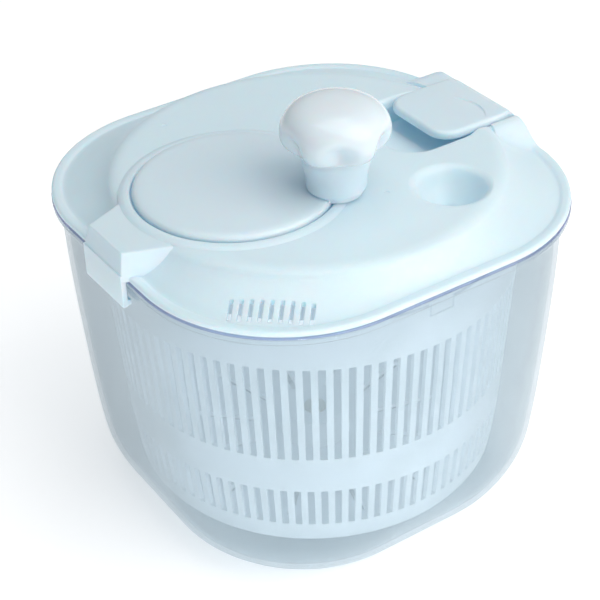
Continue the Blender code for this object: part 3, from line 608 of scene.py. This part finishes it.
def lid_body():
    """Deck, rounded-square flange and lip, and the underside, as one closed wall.

    Round stations are (radius, height), square ones (half width, corner radius, height), and the
    slope's give how far it has gone from its round top to its square foot.
    """
    count = 336
    deck = ((0.0885, 0.1800), (0.0905, 0.17994), (0.0922, DECK_Z), (0.0938, 0.17930), (0.0952, 0.17865),
            (0.0962, 0.1779), (0.0968, 0.17705))
    slope = ((0.0, 0.17705), (0.12, 0.1752), (0.30, 0.1731), (0.52, 0.1711), (0.75, 0.1694),
             (0.92, 0.1683), (1.0, 0.1680))
    lip = ((0.1066, 0.0709, 0.16812), (0.1070, 0.0713, 0.1683), (0.1075, 0.0717, 0.16855),
           (0.1082, 0.0724, 0.1687), (0.1100, 0.0741, 0.1689), (0.1109, 0.0750, 0.16875),
           (0.1115, 0.0756, 0.1683), (0.1117, 0.0758, 0.1676), (0.1117, 0.0758, 0.1668),
           (0.1115, 0.0756, 0.1665))
    under = ((0.1086, 0.0730, 0.1665), (0.1086, 0.0730, 0.1640), (0.1083, 0.0727, 0.1634),
             (0.1071, 0.0715, 0.1634), (0.1068, 0.0712, 0.1638), (0.1064, 0.0708, 0.1655))
    inside = ((0.75, 0.1671), (0.5, 0.1692), (0.25, 0.1718), (0.0, 0.1752))
    ceiling = ((0.0938, 0.1765), (0.0920, 0.1773), (0.0895, 0.1776))
    outer_top, outer_foot = 0.0968, (0.1062, 0.0705)  # the slope goes from a circle to a square
    inner_top, inner_foot = 0.0945, (0.1050, 0.0694)
    rings = [circle(radius, z, count) for radius, z in deck]
    rings += [blend(share, outer_top, *outer_foot, z, count) for share, z in smooth(slope, 3)[1:]]
    rings += [blend(1.0, 0.0, *station, count) for station in lip]
    still = 6  # rings of the deck that stay level
    fade = [0.97, 0.86, 0.62, 0.30, 0.0, 0.0]  # the lip's last rings rise less and less
    lifts = [0.0] * still + [1.0] * (len(rings) - still - len(fade)) + fade
    for ring, share in zip(rings, lifts):
        raise_shoulders(ring, share)
    rings += [blend(1.0, 0.0, *station, count) for station in under]
    rings += [blend(share, inner_top, *inner_foot, z, count) for share, z in inside]
    rings += [circle(radius, z, count) for radius, z in ceiling]
    return skin("lid_top", rings, LID)


def add_disc_seat(lid):
    """Shallow ring round the crank disc, on a raised seat."""
    seat = ((0.0532, 0.1753), (0.0536, 0.1796))
    ring = ((0.0556, 0.1794), (0.0550, 0.18002), (0.0540, 0.18045), (0.0532, 0.18075),
            (0.0524, 0.18095), (0.0512, 0.18105), (0.0504, 0.1810), (0.0499, 0.18075),
            (0.0496, 0.1802), (0.0496, 0.1788))
    combine(lid, "UNION", turned("seat", seat, count=160, centre=CRANK),
            turned("ring", ring, count=160, centre=CRANK, closed=True))


def add_hook(lid):
    """Fixed hook at the front: a tapered block, a skirt over the rim and a lip under it."""
    block = outline_loft("block", [(hook_outline(0.0180, 0.0275, HOOK_FRONT), 0.1664),
                                   (hook_outline(0.0152, 0.0240, HOOK_FRONT + 0.0029), 0.1799)])
    skirt = box("skirt", (HOOK_X - 0.0178, HOOK_FRONT, 0.1526), (HOOK_X + 0.0178, -0.1125, 0.1700))
    lip = box("hook_lip", (HOOK_X - 0.0174, -0.1140, 0.1530), (HOOK_X + 0.0174, -0.1105, 0.1558))
    combine(lid, "UNION", bevel(block, 0.0007, 3), bevel(skirt, 0.0006), bevel(lip, 0.0004))
    levels = []
    for half, front, z in ((0.0150, -0.1100, 0.150), (0.0150, -0.1100, 0.1670), (0.0130, -0.1085, 0.1774)):
        corners = ((-half, front), (half, front), (half + 0.006, -0.0890), (-half - 0.006, -0.0890))
        levels.append(([(HOOK_X + x, y) for x, y in corners], z))
    combine(lid, "DIFFERENCE", outline_loft("hollow", levels))


def add_latch_bed(lid):
    """Pan and dish that stand under the thumb tab."""
    combine(lid, "UNION", box("pan", (-0.0272, 0.0620, 0.1641), (0.0272, 0.1074, 0.1788)))
    outside = dish("dish_outside", 0.0022, 0.0024)
    combine(outside, "INTERSECT", box("below_deck", (-0.04, 0.03, 0.15), (0.04, 0.11, 0.1787)))
    combine(lid, "UNION", outside)


def cut_disc_well(lid):
    """Flat-bottomed well under the crank disc, and the hole for its shaft."""
    combine(lid, "DIFFERENCE",
            turned("well", [(0.0496, 0.1784), (0.0496, 0.1850)], count=160, centre=CRANK),
            turned("shaft_way", [(0.0096, 0.1700), (0.0096, 0.1800)], count=64, centre=CRANK))


def cut_inlet(lid):
    """Funnel-shaped water hole with a soft mouth."""
    mouth = ((0.0080, 0.1640), (0.0104, 0.1668), (0.0132, 0.1712), (0.0152, 0.1755), (0.0166, 0.1780),
             (0.0178, 0.1791), (0.0192, 0.17975), (0.0210, 0.1801), (0.0235, 0.1806))
    hole = [(0.0072, 0.1600), (0.0074, 0.1626), *smooth(mouth, 4), (0.0240, 0.1840)]
    combine(lid, "DIFFERENCE", turned("hole", hole, count=128, centre=INLET))


def cut_latch_bed(lid):
    """Thumb scoop, and the pocket that the latch's plate and arm move in."""
    combine(lid, "DIFFERENCE", dish("dish", 0.0, 0.0),
            box("pocket", (-0.0249, 0.0640, 0.1672), (0.0249, 0.1045, 0.1850)),
            box("outer_pocket", (-0.0249, 0.1040, 0.1688), (0.0249, 0.1135, 0.1850)))


def add_screw_bosses(lid):
    """Bosses under the deck that the gear cover's screws go into."""
    for centre in ((-0.0275, -0.0714), (0.0275, -0.0714), (-0.0168, 0.0103), (0.0168, 0.0103)):
        boss = turned("boss", [(0.0040, 0.1641), (0.0040, 0.1779)], count=32, centre=centre)
        combine(lid, "UNION", boss)
        pilot = turned("pilot", [(0.0016, 0.1600), (0.0016, 0.1740)], count=16, centre=centre)
        combine(lid, "DIFFERENCE", pilot)


def cut_drain_slits(lid):
    """Row of slits through the flange at the front right corner, side by side across their length."""
    turn, bearing, reach, pitch = math.radians(-41.0), math.radians(-42.3), 0.1124, 0.0045
    middle = Vector((reach * math.cos(bearing), reach * math.sin(bearing), 0))
    across = Vector((-math.sin(turn), math.cos(turn), 0))
    outline = corner_outline(-0.0060, 0.0060, -0.00095, 0.00095, 0.0005, 2)
    for i in range(-4, 5):
        slit = outline_loft("slit", [(outline, 0.156), (outline, 0.185)])
        place = Matrix.Translation(middle + across * (pitch * i))
        slit.matrix_world = place @ Matrix.Rotation(turn, 4, "Z")
        combine(lid, "DIFFERENCE", slit)


def cut_gate_marks(lid):
    """Two faint round marks that the mould's gates leave on the deck."""
    for centre in ((-0.072, -0.038), (0.047, 0.013)):
        mark = turned("gate", [(0.0014, DECK_Z), (0.0016, 0.1805)], count=24, centre=centre)
        combine(lid, "DIFFERENCE", mark)


def make_lid():
    """The lid's one moulding, joined and cut from its parts."""
    lid = lid_body()
    add_disc_seat(lid)
    funnel = ((0.0098, 0.1625), (0.0130, 0.1668), (0.0172, 0.1740), (0.0215, 0.1790))
    combine(lid, "UNION", turned("funnel", funnel, count=96, centre=INLET))
    add_hook(lid)
    add_latch_bed(lid)
    cut_disc_well(lid)
    cut_inlet(lid)
    cut_latch_bed(lid)
    add_screw_bosses(lid)
    cut_drain_slits(lid)
    cut_gate_marks(lid)
    finish_piece(lid, "lid", "lid_shell")


# --- crank and knob -----------------------------------------------------------------------------
def make_crank():
    """Domed disc with the knob's stem above and the hexagonal shaft below."""
    edge = ((0.0487, 0.1801), (0.0487, 0.1811), (0.0484, 0.1820), (0.0477, 0.1827), (0.0465, 0.18315),
            (0.0440, 0.18345), (0.0380, 0.1835), (0.0250, 0.18365), (0.0120, 0.1838))
    disc = [(0.0468, 0.1787), (0.0479, 0.1789), (0.0486, 0.1794), *smooth(edge, 3)]
    crank = turned("crank_top", disc, LID, count=192, centre=CRANK)
    shaft = ((0.0090, 0.1746), (0.0092, 0.1749), (0.0092, 0.1790))
    combine(crank, "UNION", turned("shaft", shaft, count=64, centre=CRANK))
    across_corners = 0.0150
    hexagon = [(CRANK[0] + across_corners / 2 * math.cos(TAU * i / 6),
                CRANK[1] + across_corners / 2 * math.sin(TAU * i / 6)) for i in range(6)]
    combine(crank, "UNION", outline_loft("hex", [(hexagon, 0.1703), (hexagon, 0.1771)]))
    combine(crank, "DIFFERENCE", turned("pilot", [(0.0018, 0.17), (0.0018, 0.18)], count=24, centre=CRANK))
    flare = ((0.0132, 0.18385), (0.0139, 0.1842), (0.0143, 0.1850), (0.0144, 0.1864), (0.0145, 0.1900),
             (0.0149, 0.1925), (0.0155, 0.1950), (0.0162, 0.1975), (0.0168, 0.2002), (0.0171, 0.2028))
    stem = [(0.0125, 0.1815), (0.0128, 0.1838), *smooth(flare, 3), (0.0172, 0.2037)]
    combine(crank, "UNION", turned("stem", stem, count=96, centre=KNOB))
    axle_way = turned("axle_way", [(0.0024, 0.1890), (0.0024, 0.2070)], count=32, centre=KNOB)
    combine(crank, "DIFFERENCE", axle_way)
    finish_piece(crank, "crank", "crank_disc")


def make_knob():
    """Mushroom cap with six lobes round its widest part; stations are (radius, height, depth)."""
    stations = ((0.0178, 0.2042, 0.01), (0.0200, 0.2045, 0.08), (0.0230, 0.2062, 0.155),
                (0.0249, 0.2088, 0.200), (0.0257, 0.2114, 0.190), (0.0258, 0.2139, 0.145),
                (0.0255, 0.2163, 0.080), (0.0246, 0.2190, 0.032), (0.0227, 0.2219, 0.008),
                (0.0192, 0.2248, 0.0), (0.0138, 0.2269, 0.0), (0.0072, 0.2278, 0.0), (0.0012, TOP_Z, 0.0))
    rings = [circle(radius, min(z, TOP_Z), 168, KNOB, lobes=6, depth=depth)
             for radius, z, depth in smooth(stations, 4)]
    knob = skin("knob_head", rings, KNOB_WHITE)
    bush_way = turned("bush_way", [(0.0081, 0.2030), (0.0081, 0.2170)], count=48, centre=KNOB)
    combine(knob, "DIFFERENCE", bush_way)
    finish_piece(knob, "knob", "knob_cap", angle=45)


# --- latch --------------------------------------------------------------------------------------
def make_latch():
    """Thumb tab and plate, with an arm that hooks under the bowl's rim.

    The edge's stations are (inset, height), and side views are (y, z).
    """
    tab_half, arm_half = 0.0240, 0.0228
    edge = ((0.0012, 0.1775), (0.0004, 0.1778), (0.0, 0.1786), (0.0, 0.1803), (0.0003, 0.1812),
            (0.0011, 0.1819), (0.0024, 0.1822))
    tab = []
    for inset, z in smooth(edge, 2):
        side = tab_half - inset
        tab.append((corner_outline(-side, side, 0.0637 + inset, 0.1120, 0.0112 - inset * 0.6, 9), z))
    latch = outline_loft("latch_plate", tab, LID)
    above = ((0.1020, 0.19), (0.1020, 0.18225), (0.1052, 0.1820), (0.1088, 0.1807), (0.1155, 0.1727),
             (0.1200, 0.1660), (0.1200, 0.19))
    below = ((0.1040, 0.1700), (0.1040, 0.1779), (0.1078, 0.1779), (0.1128, 0.1713), (0.1128, 0.1600))
    combine(latch, "DIFFERENCE", side_profile("slope", above, BEYOND), side_profile("under", below, BEYOND))
    arm = ((0.1050, 0.1780), (0.1050, 0.1804), (0.1088, 0.1804), (0.1154, 0.1727), (0.1154, 0.1530),
           (0.1149, 0.1526), (0.1112, 0.1526), (0.1109, 0.1530), (0.1109, 0.1557), (0.1128, 0.1557),
           (0.1128, 0.1712), (0.1078, 0.1780))
    combine(latch, "UNION", bevel(side_profile("arm", arm, arm_half), 0.0006, angle=40))
    for x in (-0.0160, 0.0160):
        knuckle = box("knuckle", (x - 0.0025, 0.0988, 0.1712), (x + 0.0025, 0.1052, 0.1790))
        combine(latch, "UNION", knuckle)
    bore = turned("bore", [(0.00135, -BEYOND), (0.00135, BEYOND)], count=24)
    bore.matrix_world = Matrix.Translation(HINGE) @ Matrix.Rotation(TAU / 4, 4, "Y")
    combine(latch, "DIFFERENCE", bore, arc_groove())
    finish_piece(latch, "latch", "latch")


def arc_groove():
    """Cutter for the shallow curved thumb crease across the plate."""
    centre_x, centre_y, z = 0.008, 0.0640, 0.18240
    radius, squash, width, flatness = 0.0335, 0.75, 0.0011, 0.95
    steps, blunt = 32, 0.6  # blunt keeps the tapered ends from closing to a point
    rings = []
    for i in range(steps + 1):
        angle = math.radians(60 + 60 * i / steps)
        out = Vector((math.cos(angle), math.sin(angle), 0))
        middle = Vector((radius * out.x * squash + centre_x, centre_y + radius * out.y, z))
        reach = width * math.sin(math.pi * (i + blunt) / (steps + 2 * blunt)) ** 0.5
        rings.append(tube_ring(middle, out, reach, reach * flatness, 12))
    return skin("arc", rings)


def make_spring():
    """Compression spring under the thumb tab, which the pressed tab would shorten; here it is built at one
    length.
    """
    low, high, coil, wire = 0.1682, 0.1766, 0.0030, 0.0004
    turns, steps = 4, 24
    rings = []
    for i in range(turns * steps + 1):
        angle = TAU * i / steps
        out = Vector((math.cos(angle), math.sin(angle), 0))
        middle = Vector((*SPRING, low + (high - low) * i / (turns * steps))) + out * coil
        rings.append(tube_ring(middle, out, wire, wire, 8))
    spring = skin("latch_spring_coil", rings, STEEL)
    spring.data.shade_smooth()
    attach(spring, "lid")
    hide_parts("latch_spring")
    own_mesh(spring)


# --- carried-over CAD nodes ---------------------------------------------------------------------
def dress_nodes():
    """Gives the CAD nodes that stay in view their materials."""
    looks = {"drive_spider": BASKET, "gear_cover": LID}
    for name in ("pivot_bush", "drive_pinion", "pinion_bush", "drive_gear", "knob_bush"):
        looks[name] = ACETAL
    steel = ["cover_screw_%d" % number for number in range(1, 5)]
    steel += ["pinion_screw", "crank_washer", "crank_screw", "knob_axle_screw", "latch_hinge_pin"]
    looks.update({name: STEEL for name in steel})
    for name, material in looks.items():
        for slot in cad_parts[name].material_slots:
            slot.material = material


# --- studio -------------------------------------------------------------------------------------
def make_floor():
    """White floor that glows a little, so that it stays white round the spinner.

    It lies just below the spinner's foot, so that the two never share a plane.
    """
    mesh_data = bmesh.new()
    bmesh.ops.create_grid(mesh_data, x_segments=1, y_segments=1, size=6.0)
    material, tree = new_material("floor_white")
    shader = add(tree, "ShaderNodeBsdfPrincipled", Base_Color=(0.96, 0.965, 0.97, 1), Roughness=0.85)
    shader.inputs["Emission Color"].default_value = (1, 1, 1, 1)
    shader.inputs["Emission Strength"].default_value = 0.40
    show(tree, shader.outputs["BSDF"])
    floor = make("floor", mesh_data, material)
    floor.location.z = -0.0002


def make_sky():
    """Plain world that is brighter towards one side."""
    world = bpy.data.worlds.new("studio")
    bpy.context.scene.world = world
    world.use_nodes = True
    tree = world.node_tree
    background = tree.nodes["Background"]
    direction = tree.nodes.new("ShaderNodeTexCoord")
    side = tree.nodes.new("ShaderNodeVectorMath")
    side.operation = "DOT_PRODUCT"
    side.inputs[1].default_value = (0.62, 0.68, 0.40)
    tree.links.new(direction.outputs["Generated"], side.inputs[0])
    strength = remap(tree, side.outputs["Value"], 0.14, 0.50, -1.0, 1.0)
    tree.links.new(strength, background.inputs["Strength"])
    background.inputs["Color"].default_value = (0.93, 0.97, 1.0, 1)


def make_light(name, position, size, power, colour, target=(0, 0, 0.12), spread=180):
    """Square area light that faces its target; spread is in degrees."""
    data = bpy.data.lights.new(name, "AREA")
    data.size = size
    data.energy = power
    data.color = colour
    data.spread = math.radians(spread)
    lamp = bpy.data.objects.new(name, data)
    lamp.location = position
    lamp.rotation_euler = (Vector(target) - Vector(position)).to_track_quat("-Z", "Y").to_euler()
    bpy.context.scene.collection.objects.link(lamp)


def make_studio():
    """Floor, world and four soft lights."""
    make_floor()
    make_sky()
    make_light("key", (0.95, 0.42, 1.15), 1.30, 11.0, (1.0, 0.92, 0.86))
    make_light("top", (0.0, 0.1, 1.6), 1.2, 6.5, (0.98, 0.99, 1.0))
    make_light("fill", (1.10, -0.35, 0.42), 0.7, 1.2, (0.97, 0.98, 1.0), target=(0, 0, 0.15))
    make_light("low", (0.62, -0.32, 0.070), 0.20, 0.080, (0.97, 0.99, 1.0), target=(0, 0, 0.060), spread=10)


def make_camera():
    """Camera from the front right and above, rolled slightly; angles are in degrees."""
    position, lens = (0.574, -0.377, 0.577), 98.48
    heading, pitch, roll = math.radians(147.2), math.radians(34.88), math.radians(-2.1)
    level = math.cos(pitch)
    forward = Vector((math.cos(heading) * level, math.sin(heading) * level, -math.sin(pitch)))
    right = forward.cross(Vector((0, 0, 1))).normalized()
    up = right.cross(forward)
    turned_right = right * math.cos(roll) + up * math.sin(roll)
    turned_up = up * math.cos(roll) - right * math.sin(roll)
    data = bpy.data.cameras.new("camera")
    data.sensor_width = 36.0
    data.lens = lens
    camera = bpy.data.objects.new("camera", data)
    basis = Matrix((turned_right, turned_up, -forward)).transposed().to_4x4()
    camera.matrix_world = Matrix.Translation(position) @ basis
    bpy.context.scene.collection.objects.link(camera)
    bpy.context.scene.camera = camera


make_camera()
make_studio()
make_bowl()
make_basket()
make_lid()
make_crank()
make_knob()
make_latch()
make_spring()
dress_nodes()
bpy.context.scene.view_settings.view_transform = "Standard"
